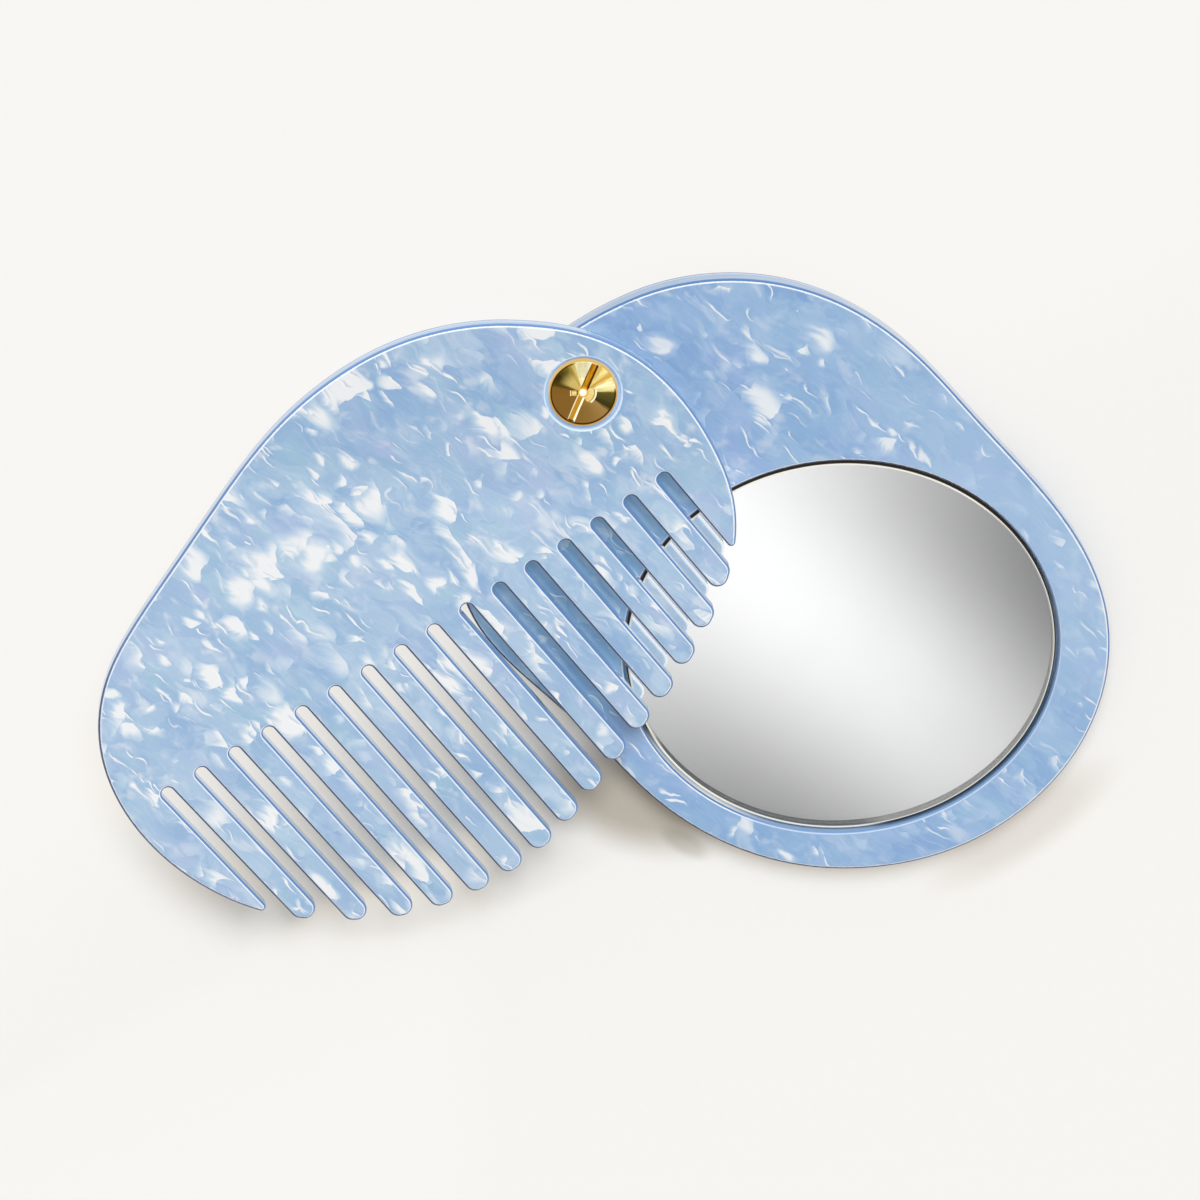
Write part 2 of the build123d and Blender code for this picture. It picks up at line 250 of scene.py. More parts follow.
def acetate(name, base, gain, big, mid, small, curls, seed, plate):
    """Polished pearl acetate sheet: soft clouds of blues, silky flakes at three sizes, fine bright curls, with painted
    highlight and shade lines round its edges and a painted glow where light would come through it or up off the mirror.
    plate is the height of its two faces in mm."""
    t = Tree(name)
    obj = t.coord.outputs["Object"]
    here = t.v("SCALE", obj, scale=1000.0)
    p0 = t.v("ADD", here, seed)
    # the sheet's pattern is drawn out along one diagonal
    flat = t.turn(p0, math.radians(38.0))
    drawn = t.v("MULTIPLY", flat, (0.64, 1.0, 0.50))
    w1 = t.v("SUBTRACT", t.noise(t.v("SCALE", drawn, scale=1 / 7.0), 1.0, 2.0, 0.5)[1], (0.5, 0.5, 0.5))
    w2 = t.v("SUBTRACT", t.noise(t.v("SCALE", drawn, scale=1 / 1.9), 1.0, 2.0, 0.5)[1], (0.5, 0.5, 0.5))
    p = t.v("ADD", drawn, t.v("ADD", t.v("SCALE", w1, scale=5.0), t.v("SCALE", w2, scale=0.95)))

    lean = (1.0, -0.30, 0.0)
    b1, tone1 = flakes(t, p, 5.8, lean, 1.9, big, (-0.16, 0.42), (3.1, 1.7, 0.4), 0.50)
    b2, tone2 = flakes(t, p, 3.9, lean, 2.4, mid, (-0.14, 0.40), (11.3, 7.9, 2.2), 0.44)
    b3, tone3 = flakes(t, p, 2.2, lean, 3.0, small, (-0.14, 0.42), (5.7, 19.1, 8.3))

    # soft clouds
    c1 = t.noise(t.v("SCALE", p, scale=1 / 12.0), 1.0, 3.0, 0.55)[0]
    c2 = t.noise(t.v("ADD", t.v("SCALE", p, scale=1 / 7.0), (31.0, 5.0, 2.0)), 1.0, 2.0, 0.5)[0]
    c3 = t.noise(t.v("ADD", t.v("SCALE", p, scale=1 / 3.0), (7.0, 45.0, 9.0)), 1.0, 3.0, 0.55)[0]
    c4 = t.noise(t.v("ADD", t.v("SCALE", p, scale=1 / 4.5), (71.0, 15.0, 19.0)), 1.0, 2.0, 0.5)[0]
    c5 = t.noise(t.v("ADD", t.v("SCALE", p, scale=1 / 2.4), (17.0, 25.0, 39.0)), 1.0, 2.0, 0.5)[0]
    colour = t.mix(t.span(c1, 0.34, 0.64), base["deep"], base["mid"])
    colour = t.mix(t.span(c2, 0.48, 0.72, 0.0, 0.8), colour, base["violet"])
    colour = t.mix(t.span(c4, 0.52, 0.75, 0.0, 0.7), colour, base["teal"])
    colour = t.mix(t.span(tone1, 0.30, 1.0, 0.0, 0.30), colour, base["teal"])
    colour = t.mix(t.span(tone2, 0.35, 1.0, 0.0, 0.30), colour, base["pale"])
    colour = t.mix(t.span(tone3, 0.0, 0.45, 0.16, 0.0), colour, base["deep"])
    colour = t.mix(t.span(c3, 0.48, 0.76, 0.0, 0.55), colour, base["pale"])

    # flakes and curls come in crowds
    crowd = t.span(t.noise(t.v("ADD", t.v("SCALE", p, scale=1 / 9.0), (2.0, 61.0, 4.0)), 1.0, 2.0, 0.5)[0], 0.36, 0.60)
    b = t.m("MAXIMUM", b1, t.m("MAXIMUM", t.m("MULTIPLY", b2, 0.95), t.m("MULTIPLY", b3, 0.85)))
    b = t.m("MULTIPLY", t.m("MULTIPLY", b, t.m("ADD", 0.5, t.m("MULTIPLY", crowd, 0.5))), gain, clamp=True)
    soft = t.m("MULTIPLY", t.span(c5, 0.53, 0.74), t.m("ADD", 0.35, t.m("MULTIPLY", crowd, 0.65)))
    colour = t.mix(t.m("MULTIPLY", soft, base["soft"]), colour, base["white"])
    # fine silk that runs the pattern's way
    silk = t.noise(t.v("MULTIPLY", p, (0.30, 2.4, 1.0)), 1.0, 3.0, 0.6)[0]
    colour = t.mix(t.span(silk, 0.52, 0.78, 0.0, 0.40), colour, base["pale"])
    colour = t.mix(t.span(silk, 0.22, 0.46, 0.30, 0.0), colour, base["deep"])
    colour = t.mix(t.span(b, 0.03, 0.46, 0.0, 0.70), colour, base["pale"])
    colour = t.mix(t.span(b, 0.34, 0.90, 0.0, 0.86), colour, base["white"])

    # curls
    across = (0.25, 1.0, 0.0)
    few = t.m("ADD", 0.08, t.m("MULTIPLY", crowd, 0.92))
    la, sa = crescents(t, p, 3.3, across, 1.6, curls, 0.17, 2.8, 0.40, (21.0, 3.0, 6.0))
    lb, sb = crescents(t, p, 2.2, across, 2.6, curls * 0.8, 0.13, 3.6, 0.42, (4.0, 37.0, 1.0))
    lc, sc = crescents(t, p, 4.6, (0.6, 1.0, 0.0), 1.6, curls * 0.7, 0.30, 2.2, 0.34, (63.0, 9.0, 4.0))
    shade = t.m("MAXIMUM", sa, t.m("MAXIMUM", sb, sc))
    light = t.m("MAXIMUM", la, t.m("MAXIMUM", lb, lc))
    colour = t.mix(t.m("MULTIPLY", t.m("MULTIPLY", shade, few), 0.50), colour, base["deep"])
    colour = t.mix(t.m("MULTIPLY", light, few), colour, base["white"])

    # cut walls show the sheet edge on, in thin layers. Painted highlight and shade on the edges: round the face runs a
    # painted bright line and outside it a painted deep blue one, dark brown on edges that face away from the light, and
    # the foot of the wall has a painted dark line with a fainter pale one above it
    nx, ny, n = t.split(t.coord.outputs["Normal"])
    z = t.split(here)[2]
    away = t.span(t.m("ADD", t.m("MULTIPLY", nx, 0.66), t.m("MULTIPLY", ny, 0.75)), -0.45, 0.05, 1.0, 0.0)
    layers = t.noise(t.v("MULTIPLY", p0, (0.12, 0.12, 1.5)), 1.0, 3.0, 0.6)[0]
    wall = t.mix(t.span(layers, 0.36, 0.70), base["wall"], base["wall_pale"])
    wall = t.mix(t.span(z, plate[0] + 1.25, plate[0] + 1.45, 0.45, 0.0), wall, base["white"])
    wall = t.mix(t.span(z, plate[0] + 0.85, plate[0] + 1.0, 1.0, 0.0), wall, base["edge"])
    a = t.m("ABSOLUTE", n)
    inset, ox, oy = from_oval(t, obj)
    # painted light: walls of the teeth above the glass that don't face away from the light are paler, as if lit up off
    # the mirror
    over = t.m("MULTIPLY", t.span(inset, -3.0, 0.0), t.span(z, 6.4, 6.6))
    bright = t.m("MULTIPLY", over, t.m("SUBTRACT", 1.0, away))
    wall = t.mix(t.m("MULTIPLY", bright, 0.9), wall, base["pale"])
    wall = t.mix(t.span(a, 0.08, 0.25), wall, t.mix(away, base["edge"], base["dark"]))
    wall = t.mix(t.span(a, t.m("ADD", 0.52, t.m("MULTIPLY", away, base["reach"] - 0.52)), t.m("ADD", 0.62, t.m("MULTIPLY", away, base["reach"] - 0.57))), wall, base["edge"])
    wall = t.mix(t.span(a, t.m("ADD", 0.80, t.m("MULTIPLY", away, 0.09)), t.m("ADD", 0.90, t.m("MULTIPLY", away, 0.04)), 0.0, t.m("SUBTRACT", 1.0, t.m("MULTIPLY", away, 0.35))), wall, base["white"])
    face = t.span(a, 0.950, 0.978)
    colour = t.mix(face, wall, colour)
    # painted glow: emission stands in for light that comes through the sheet, leaving by the underside and a little by
    # the walls
    glow = t.mix(t.span(n, -0.9, -0.5, 1.0, 0.0), t.mix(face, base["wall_glow"], (0.0, 0.0, 0.0, 1.0)), colour)
    glow = t.v("SCALE", glow, scale=0.42)

    # painted shade: the wall of the glass's pocket is coloured near black where it stays in the dark, and pale grey
    # with a faint painted glow round its lower side; on the far side the painted shade is mostly left off and the face
    # round the pocket is evened out towards a mid blue
    pocket = t.m("MULTIPLY", t.span(t.m("ABSOLUTE", t.m("ADD", inset, 0.2)), 0.3, 0.6, 1.0, 0.0), t.span(a, 0.10, 0.45, 1.0, 0.0))
    pocket = t.m("MULTIPLY", pocket, t.span(z, 4.3, 4.6, 1.0, 0.0))
    pocket = t.m("MULTIPLY", pocket, t.m("SUBTRACT", 1.0, t.m("MULTIPLY", far_side(t, ox, oy), t.span(ny, -0.2, 0.1))))
    upper = t.span(t.m("ADD", t.m("MULTIPLY", ox, 0.45), t.m("MULTIPLY", oy, 0.89)), -0.86, -0.76)
    colour = t.mix(pocket, colour, t.mix(upper, (0.70, 0.72, 0.72, 1.0), (0.050, 0.040, 0.028, 1.0)))
    glow = t.mix(pocket, glow, t.mix(upper, (0.22, 0.22, 0.21, 1.0), (0.0, 0.0, 0.0, 1.0)))
    soften = t.m("MULTIPLY", t.m("MULTIPLY", t.span(t.m("ABSOLUTE", t.m("ADD", inset, 0.35)), 0.4, 0.8, 1.0, 0.0), t.span(z, 4.3, 4.6, 1.0, 0.0)), far_side(t, ox, oy))
    colour = t.mix(t.m("MULTIPLY", soften, 0.55), colour, base["mid"])
    # the frame is paler towards its far end; where the comb shades it, a greenish painted glow lightens it
    r, fx, fy = from_pivot(t, obj)
    low = t.span(z, 4.3, 4.6, 1.0, 0.0)
    far = t.m("MULTIPLY", t.m("MULTIPLY", t.span(fx, 34.0, 66.0), t.span(fy, -64.0, -38.0)), low)
    colour = t.mix(t.m("MULTIPLY", t.m("MULTIPLY", far, face), 0.38), colour, base["pale"])
    ex, ey = t.m("DIVIDE", t.m("ADD", fx, 5.0), 27.0), t.m("DIVIDE", t.m("ADD", fy, 22.0), 32.0)
    under = t.span(t.m("ADD", t.m("MULTIPLY", ex, ex), t.m("MULTIPLY", ey, ey)), 0.78, 0.98, 1.0, 0.0)
    under = t.m("MULTIPLY", t.m("MULTIPLY", under, low), t.m("MULTIPLY", face, t.span(n, 0.0, 0.5)))
    glow = t.v("ADD", glow, t.v("SCALE", (0.040, 0.080, 0.085), scale=under))
    # painted light: a glow on the underside of the teeth above the mirror, on their walls and on the lip between stands
    # in for the light the mirror throws up at them
    lit = t.m("MULTIPLY", over, t.span(n, -0.90, -0.80, 1.0, 0.0))
    glow = t.mix(t.m("MULTIPLY", lit, 0.80), glow, (0.66, 0.87, 1.12, 1.0))
    glow = t.mix(t.m("MULTIPLY", t.m("MULTIPLY", bright, t.span(a, 0.08, 0.25, 1.0, 0.0)), 0.80), glow, (0.62, 0.70, 0.80, 1.0))
    lip = t.m("MULTIPLY", over, t.m("MULTIPLY", t.span(n, -0.30, -0.15, 1.0, 0.0), t.span(n, -0.90, -0.80)))
    glow = t.mix(t.m("MULTIPLY", lip, 0.90), glow, (1.05, 1.03, 1.0, 1.0))
    # painted light: the pivot's counterbore is coloured pale and given a painted glow right down to its floor, where it
    # would otherwise be in shade
    bore = t.m("MULTIPLY", t.span(r, 5.62, 5.82, 1.0, 0.0), t.span(z, 6.6, 6.9))
    colour = t.mix(bore, colour, base["pale"])
    glow = t.mix(bore, glow, t.mix(t.span(r, 5.40, 5.55), base["bore"], base["edge"]))

    rough = t.span(c3, 0.3, 0.7, 0.16, 0.24)
    wave = t.noise(t.v("SCALE", p0, scale=1 / 16.0), 1.0, 2.0, 0.5)[0]
    scuff = t.noise(t.v("MULTIPLY", p0, (3.0, 0.5, 1.0)), 1.0, 4.0, 0.7)[0]
    height = t.m("ADD", wave, t.m("MULTIPLY", scuff, 0.015))
    t.principled(
        Base_Color=colour,
        Roughness=rough,
        IOR=1.49,
        Specular_IOR_Level=0.25,
        Coat_Weight=1.0,
        Coat_Roughness=0.03,
        Coat_IOR=1.49,
        Emission_Color=glow,
        Emission_Strength=1.0,
        Normal=t.bump(height, 0.25, 0.0002),
    )
    return t.mat


E = 1.28  # how much brighter than its own colour a white card lying flat would look


def blues(soft, reach, **colours):
    """Colours as they look in the light of this scene, turned into the material's own."""
    out = {n: (*(min(0.95, max(0.0, lin(x) - 0.035) / E) for x in c), 1.0) for n, c in colours.items()}
    out["soft"] = soft  # how white the soft patches get
    out["reach"] = reach  # how far up the rounding the dark line goes, on edges that face away from the light
    return out


# Among these, edge and dark colour the painted shade lines round the faces, white also the painted highlight line, and
# wall_glow and bore the painted glow.
COMB_BLUES = blues(
    0.46, 0.88,
    deep=(152, 185, 225), mid=(170, 199, 231), violet=(183, 201, 235), teal=(170, 206, 228), pale=(207, 227, 244),
    white=(255, 255, 255), wall=(156, 192, 228), wall_pale=(178, 208, 236), edge=(110, 146, 196), dark=(72, 60, 50),
    wall_glow=(96, 124, 164), bore=(108, 132, 162),
)
FRAME_BLUES = blues(
    0.34, 0.88,
    deep=(144, 179, 224), mid=(160, 192, 231), violet=(170, 194, 236), teal=(162, 199, 229), pale=(190, 215, 241),
    white=(250, 253, 255), wall=(136, 172, 214), wall_pale=(158, 190, 226), edge=(98, 138, 190), dark=(44, 48, 58),
    wall_glow=(52, 72, 104), bore=(80, 105, 145),
)

comb_acetate = acetate("comb_acetate", COMB_BLUES, 1.22, 0.33, 0.28, 0.24, 0.27, (140.0, 35.0, 12.0), (6.5, 9.5))
frame_acetate = acetate("frame_acetate", FRAME_BLUES, 1.10, 0.14, 0.18, 0.19, 0.22, (410.0, 260.0, 31.0), (0.0, 4.2))

# ---------------------------------------------------------------- metals, glass, small parts


def gold(name):
    """Gold plate, turned round the pivot's axis, with a painted reflection: its sectors run from near white to brown as
    a polished cone's reflections do.
    """
    t = Tree(name)
    obj = t.coord.outputs["Object"]
    r, x, y = from_pivot(t, obj)
    angle = t.m("DIVIDE", t.m("ARCTAN2", y, x), math.radians(360.0))
    angle = t.m("FRACT", t.m("ADD", angle, 1.0))
    # fine streaks that run out from the middle
    ray = t.v("NORMALIZE", t.xyz(x, y, 0.0))
    streak = t.noise(t.v("ADD", t.v("SCALE", ray, scale=9.0), t.xyz(0.0, 0.0, t.m("MULTIPLY", r, 0.35))), 1.0, 3.0, 0.65)[0]
    wander = t.m("ADD", angle, t.m("MULTIPLY", t.m("SUBTRACT", streak, 0.5), 0.035))
    # painted reflection: bright and dark sectors round the head
    stops = (
        (0, (104, 92, 40)), (4, (238, 222, 150)), (20, (255, 246, 196)), (29, (236, 200, 108)), (36, (206, 160, 62)), (44, (250, 232, 156)),
        (58, (232, 196, 100)), (70, (255, 250, 214)), (102, (255, 246, 190)), (112, (206, 178, 84)), (124, (116, 104, 38)),
        (142, (58, 50, 16)), (158, (74, 62, 20)), (165, (96, 72, 26)), (169, (134, 96, 40)), (230, (138, 100, 44)), (285, (150, 114, 56)),
        (323, (172, 136, 78)), (329, (66, 60, 28)), (345, (88, 80, 36)), (359, (104, 92, 40)),
    )
    bands = t.node("ShaderNodeValToRGB")
    ramp = bands.color_ramp
    ramp.interpolation = "LINEAR"
    while len(ramp.elements) > 1:
        ramp.elements.remove(ramp.elements[-1])
    ramp.elements[0].position = 0.0
    ramp.elements[0].color = rgb(*stops[0][1])
    for deg, c in stops[1:]:
        ramp.elements.new(deg / 360.0).color = rgb(*c)
    t.put(bands.inputs[0], t.m("FRACT", t.m("ADD", wander, 1.0)))
    brown = t.m("MULTIPLY", t.span(angle, 163 / 360, 169 / 360), t.span(angle, 322 / 360, 328 / 360, 1.0, 0.0))
    colour = t.mix(t.m("MULTIPLY", t.span(streak, 0.35, 0.65, 0.0, 0.30), t.m("SUBTRACT", 1.0, brown)), bands.outputs[0], rgb(120, 92, 34), "MULTIPLY")
    # the painted dark wedge of reflection at the upper left clears up towards the middle
    wedge = t.m("MULTIPLY", t.span(angle, 110 / 360, 125 / 360), t.span(angle, 150 / 360, 164 / 360, 1.0, 0.0))
    colour = t.mix(t.m("MULTIPLY", wedge, t.span(r, 2.0, 4.2, 0.75, 0.0)), colour, rgb(236, 206, 120))
    # painted highlights and shade on the low boss, the nub and the driver slot, whose lips are bright on its lower arm
    # and dark on its upper one
    dee = t.m("MULTIPLY", t.span(t.m("ADD", t.m("MULTIPLY", x, 0.93), t.m("MULTIPLY", y, 0.37)), -0.15, 0.05), t.span(t.m("ADD", t.m("MULTIPLY", x, 0.25), t.m("MULTIPLY", y, 0.97)), -1.25, -1.10))
    dee = t.m("MULTIPLY", dee, t.span(t.m("ADD", t.m("MULTIPLY", x, 0.25), t.m("MULTIPLY", y, 0.97)), 0.80, 0.95, 1.0, 0.0))
    bx, by = t.m("ABSOLUTE", t.m("ADD", x, 1.40)), t.m("ABSOLUTE", t.m("ADD", y, 0.10))
    block = t.m("MULTIPLY", t.span(bx, 0.42, 0.50, 1.0, 0.0), t.span(by, 0.36, 0.44, 1.0, 0.0))
    boss = t.m("MAXIMUM", t.m("MULTIPLY", t.span(r, 1.96, 2.04, 1.0, 0.0), dee), block)
    colour = t.mix(boss, colour, t.mix(t.span(streak, 0.4, 0.6), rgb(226, 180, 84), rgb(250, 226, 150)))
    colour = t.mix(t.m("MULTIPLY", t.span(r, 1.72, 1.86), boss), colour, rgb(255, 250, 215))
    colour = t.mix(t.m("MULTIPLY", t.m("MULTIPLY", t.span(r, 1.58, 1.64), t.span(r, 1.68, 1.74, 1.0, 0.0)), boss), colour, rgb(150, 100, 26))
    turn = math.radians(67.6)
    s = t.m("ADD", t.m("MULTIPLY", x, math.cos(turn)), t.m("MULTIPLY", y, math.sin(turn)))
    c = t.m("ABSOLUTE", t.m("ADD", t.m("MULTIPLY", x, -math.sin(turn)), t.m("MULTIPLY", y, math.cos(turn))))
    upper = t.span(s, -0.2, 0.2)
    floor_c = t.mix(upper, rgb(196, 140, 40), t.mix(t.span(streak, 0.42, 0.58), rgb(214, 148, 30), rgb(168, 104, 14)))
    lip_c = t.mix(upper, rgb(255, 248, 210), rgb(74, 46, 12))
    arm = t.mix(t.span(c, 0.30, 0.37), floor_c, lip_c)
    inside = t.m("MULTIPLY", t.span(c, 0.52, 0.58, 1.0, 0.0), t.span(r, 4.55, 4.65, 1.0, 0.0))
    colour = t.mix(inside, colour, arm)
    colour = t.mix(t.span(r, 0.72, 0.78, 1.0, 0.0), colour, rgb(226, 170, 60))
    colour = t.mix(t.span(r, 0.50, 0.60, 1.0, 0.0), colour, rgb(255, 252, 232))
    # the rim: a painted bright edge, with a painted dark line inside it all round but at the upper right
    clear = t.m("MULTIPLY", t.span(angle, 4 / 360, 10 / 360), t.span(angle, 100 / 360, 112 / 360, 1.0, 0.0))
    line = t.m("MULTIPLY", t.m("MULTIPLY", t.span(r, 4.50, 4.58), t.span(r, 4.70, 4.76, 1.0, 0.0)), t.m("SUBTRACT", 1.0, clear))
    colour = t.mix(line, colour, rgb(64, 42, 14))
    colour = t.mix(t.span(r, 4.74, 4.82), colour, t.mix(t.span(y, -3.0, 3.0), rgb(200, 154, 78), rgb(222, 180, 98)))
    # that painted reflection is what the head's face shows, and it also glows with it; everything below it is plain
    # gold
    z = t.m("MULTIPLY", t.split(obj)[2], 1000.0)
    head = t.span(z, 8.2, 8.4)
    plain = t.mix(t.span(r, 4.7, 4.9), (0.92, 0.66, 0.24, 1.0), (0.66, 0.46, 0.17, 1.0))
    t.principled(
        Base_Color=t.mix(head, plain, t.v("SCALE", colour, scale=0.45)),
        Metallic=1.0,
        Roughness=t.span(streak, 0.3, 0.7, 0.14, 0.24),
        Emission_Color=t.v("SCALE", colour, scale=head),
        Emission_Strength=0.85,
        Normal=t.bump(t.noise(t.xyz(t.m("MULTIPLY", r, 9.0), 0.0, 0.0), 1.0, 3.0, 0.6)[0], 0.10, 0.00002),
    )
    return t.mat


def steel(name):
    t = Tree(name)
    obj = t.coord.outputs["Object"]
    grain = t.noise(t.v("MULTIPLY", obj, (9000.0, 900.0, 900.0)), 1.0, 3.0, 0.6)[0]
    colour = t.mix(grain, (0.42, 0.42, 0.44, 1.0), (0.62, 0.62, 0.63, 1.0))
    t.principled(Base_Color=colour, Metallic=1.0, Roughness=t.span(grain, 0.2, 0.8, 0.22, 0.38), Normal=t.bump(grain, 0.2, 0.00002))
    return t.mat


def nylon(name):
    t = Tree(name)
    obj = t.coord.outputs["Object"]
    grain = t.noise(t.v("SCALE", obj, scale=3500.0), 1.0, 4.0, 0.6)[0]
    colour = t.mix(t.span(grain, 0.3, 0.7), (0.74, 0.73, 0.69, 1.0), (0.83, 0.82, 0.79, 1.0))
    t.principled(Base_Color=colour, Roughness=t.span(grain, 0.2, 0.8, 0.42, 0.58), Normal=t.bump(grain, 0.25, 0.00003))
    return t.mat


def adhesive(name):
    t = Tree(name)
    obj = t.coord.outputs["Object"]
    grain = t.noise(t.v("SCALE", obj, scale=1800.0), 1.0, 5.0, 0.65)[0]
    colour = t.mix(t.span(grain, 0.3, 0.7), (0.66, 0.66, 0.63, 1.0), (0.76, 0.76, 0.73, 1.0))
    t.principled(Base_Color=colour, Roughness=t.span(grain, 0.2, 0.8, 0.65, 0.85), Normal=t.bump(grain, 0.5, 0.00005))
    return t.mat


def silver(name):
    t = Tree(name)
    obj = t.coord.outputs["Object"]
    haze = t.noise(t.v("SCALE", obj, scale=60.0), 1.0, 4.0, 0.6)[0]
    colour = t.mix(t.span(haze, 0.3, 0.7), (0.935, 0.935, 0.935, 1.0), (0.955, 0.955, 0.955, 1.0))
    t.principled(Base_Color=colour, Metallic=1.0, Roughness=t.span(haze, 0.3, 0.7, 0.0, 0.003))
    return t.mat


def glass(name):
    t = Tree(name)
    obj = t.coord.outputs["Object"]
    haze = t.noise(t.v("SCALE", obj, scale=90.0), 1.0, 3.0, 0.5)[0]
    t.principled(
        Base_Color=t.mix(haze, (0.985, 0.99, 0.988, 1.0), (0.995, 0.998, 0.997, 1.0)),
        Roughness=t.span(haze, 0.3, 0.7, 0.0, 0.002),
        IOR=1.5,
        Transmission_Weight=1.0,
    )
    return t.mat


GOLD = gold("gold_metal")
STEEL = steel("spring_steel")
NYLON = nylon("nylon")
ADHESIVE = adhesive("adhesive")
SILVER = silver("mirror_silver")
GLASS = glass("clear_glass")


def dress(node, mat):
    o = NODES[node]
    o.data.materials.clear()
    o.data.materials.append(mat)


dress("comb", comb_acetate)
dress("mirror_frame", frame_acetate)
dress("pivot_screw", GOLD)
dress("pivot_barrel", GOLD)
dress("head_washer", NYLON)
dress("upper_washer", NYLON)
dress("lower_washer", NYLON)
dress("spring_washer", STEEL)
dress("mirror_adhesive", ADHESIVE)

# ---------------------------------------------------------------- the mirror: clear glass with silver on its back


def ring(inset, z, n=360):
    """Points of the glass's oval, inset from its outline by that much."""
    a, b = HALF_A, HALF_B
    c, s = math.cos(OVAL_TURN), math.sin(OVAL_TURN)
    pts = []
    for i in range(n):
        u = 2 * math.pi * i / n
        x, y = a * math.cos(u), b * math.sin(u)
        nx, ny = math.cos(u) / a, math.sin(u) / b
        k = math.hypot(nx, ny)
        x, y = x - inset * nx / k, y - inset * ny / k
        pts.append((OVAL_MID.x + c * x - s * y, OVAL_MID.y + s * x + c * y, z))
    return pts


def stack(name, rings, mat, side=None):
    """A closed solid through rings of equally many points, from the bottom up, capped with fans of narrowing rings.
    side is another material for its wall."""
    bm = bmesh.new()
    loops = [[bm.verts.new(p) for p in r] for r in rings]
    n = len(loops[0])
    for low, high in zip(loops, loops[1:]):
        for i in range(n):
            j = (i + 1) % n
            f = bm.faces.new((low[i], low[j], high[j], high[i]))
            f.material_index = 1 if side and low is not loops[0] else 0
    for loop, flip in ((loops[0], True), (loops[-1], False)):
        z = loop[0].co.z
        mid = Vector((OVAL_MID.x, OVAL_MID.y, z))
        last = loop
        for k in (0.92, 0.75, 0.5, 0.25):
            new = [bm.verts.new(mid + (v.co - mid) * k) for v in loop]
            for i in range(n):
                j = (i + 1) % n
                f = (last[i], last[j], new[j], new[i])
                bm.faces.new(f[::-1] if flip else f)
            last = new
        c = bm.verts.new(mid)
        for i in range(n):
            j = (i + 1) % n
            f = (last[i], last[j], c)
            bm.faces.new(f[::-1] if flip else f)
    bm.normal_update()
    me = bpy.data.meshes.new(name)
    bm.to_mesh(me)
    bm.free()
    me.materials.append(mat)
    if side:
        me.materials.append(side)
    o = bpy.data.objects.new(name, me)
    bpy.context.scene.collection.objects.link(o)
    me.shade_smooth()
    me.set_sharp_from_angle(angle=math.radians(18))
    return o


def seam(name):
    """The ground border of the glass, with painted shade and highlight: a dark line outside and a pale one inside, pale
    all over at the lower left where the light falls, and a faint painted glow.
    """
    t = Tree(name)
    obj = t.coord.outputs["Object"]
    inset, x, y = from_oval(t, obj)
    grain = t.noise(t.v("SCALE", obj, scale=2500.0), 1.0, 3.0, 0.6)[0]
    dark = t.mix(grain, (0.030, 0.024, 0.016, 1.0), (0.060, 0.048, 0.034, 1.0))
    pale = t.mix(grain, (0.80, 0.78, 0.72, 1.0), (0.90, 0.88, 0.82, 1.0))
    upper = t.span(t.m("ADD", t.m("MULTIPLY", x, 0.45), t.m("MULTIPLY", y, 0.89)), -0.86, -0.76)
    border = t.mix(t.span(inset, 0.17, 0.22), dark, pale)
    thin = t.m("MULTIPLY", t.span(inset, 0.27, 0.31), far_side(t, x, y))
    border = t.mix(thin, border, (0.42, 0.42, 0.41, 1.0))
    low = t.mix(t.span(inset, 0.30, 0.34), pale, (0.16, 0.17, 0.18, 1.0))
    colour = t.mix(upper, low, border)
    t.principled(Base_Color=t.v("SCALE", colour, scale=0.55), Roughness=t.span(grain, 0.3, 0.7, 0.55, 0.70), Specular_IOR_Level=0.1, Emission_Color=t.v("SCALE", colour, scale=0.42), Emission_Strength=1.0)
    return t.mat


def hoop(name, section, mat):
    """A closed ring round the oval: section is its outline, as (inset, z) going round once."""
    bm = bmesh.new()
    loops = [[bm.verts.new(p) for p in ring(inset, z)] for inset, z in section]
    n = len(loops[0])
    for low, high in zip(loops, loops[1:] + loops[:1]):
        for i in range(n):
            j = (i + 1) % n
            bm.faces.new((low[i], low[j], high[j], high[i]))
    bmesh.ops.recalc_face_normals(bm, faces=bm.faces)
    me = bpy.data.meshes.new(name)
    bm.to_mesh(me)
    bm.free()
    me.materials.append(mat)
    o = bpy.data.objects.new(name, me)
    bpy.context.scene.collection.objects.link(o)
    me.shade_smooth()
    me.set_sharp_from_angle(angle=math.radians(30))
    return o


Z0, Z1 = 1.6 * MM, 3.4 * MM
EDGE = 0.40 * MM  # width of the glass's ground border
BORDER = seam("glass_border")
silver_film = stack(
    "mirror_silvering",
    [ring(0.30 * MM, Z0), ring(0.22 * MM, Z0 + 0.01 * MM), ring(0.22 * MM, Z0 + 0.035 * MM), ring(0.24 * MM, Z0 + 0.045 * MM)],
    SILVER,
)
glass_slab = stack(
    "mirror_glass_clear",
    [ring(EDGE + 0.02 * MM, Z0 + 0.05 * MM), ring(EDGE + 0.01 * MM, Z0 + 0.06 * MM), ring(EDGE + 0.01 * MM, Z1 - 0.06 * MM), ring(EDGE + 0.05 * MM, Z1 - 0.02 * MM)],
    GLASS,
    BORDER,
)
border = hoop(
    "mirror_glass_border",
    [
        (0.10 * MM, Z0 + 0.05 * MM), (0.0, Z0 + 0.17 * MM), (0.0, Z1 - 0.22 * MM), (0.04 * MM, Z1 - 0.10 * MM), (0.14 * MM, Z1 - 0.03 * MM),
        (0.28 * MM, Z1), (EDGE, Z1), (EDGE, Z0 + 0.05 * MM),
    ],
    BORDER,
)
for piece in (silver_film, glass_slab, border):
    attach(piece, "mirror_half")
    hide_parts("mirror_glass")

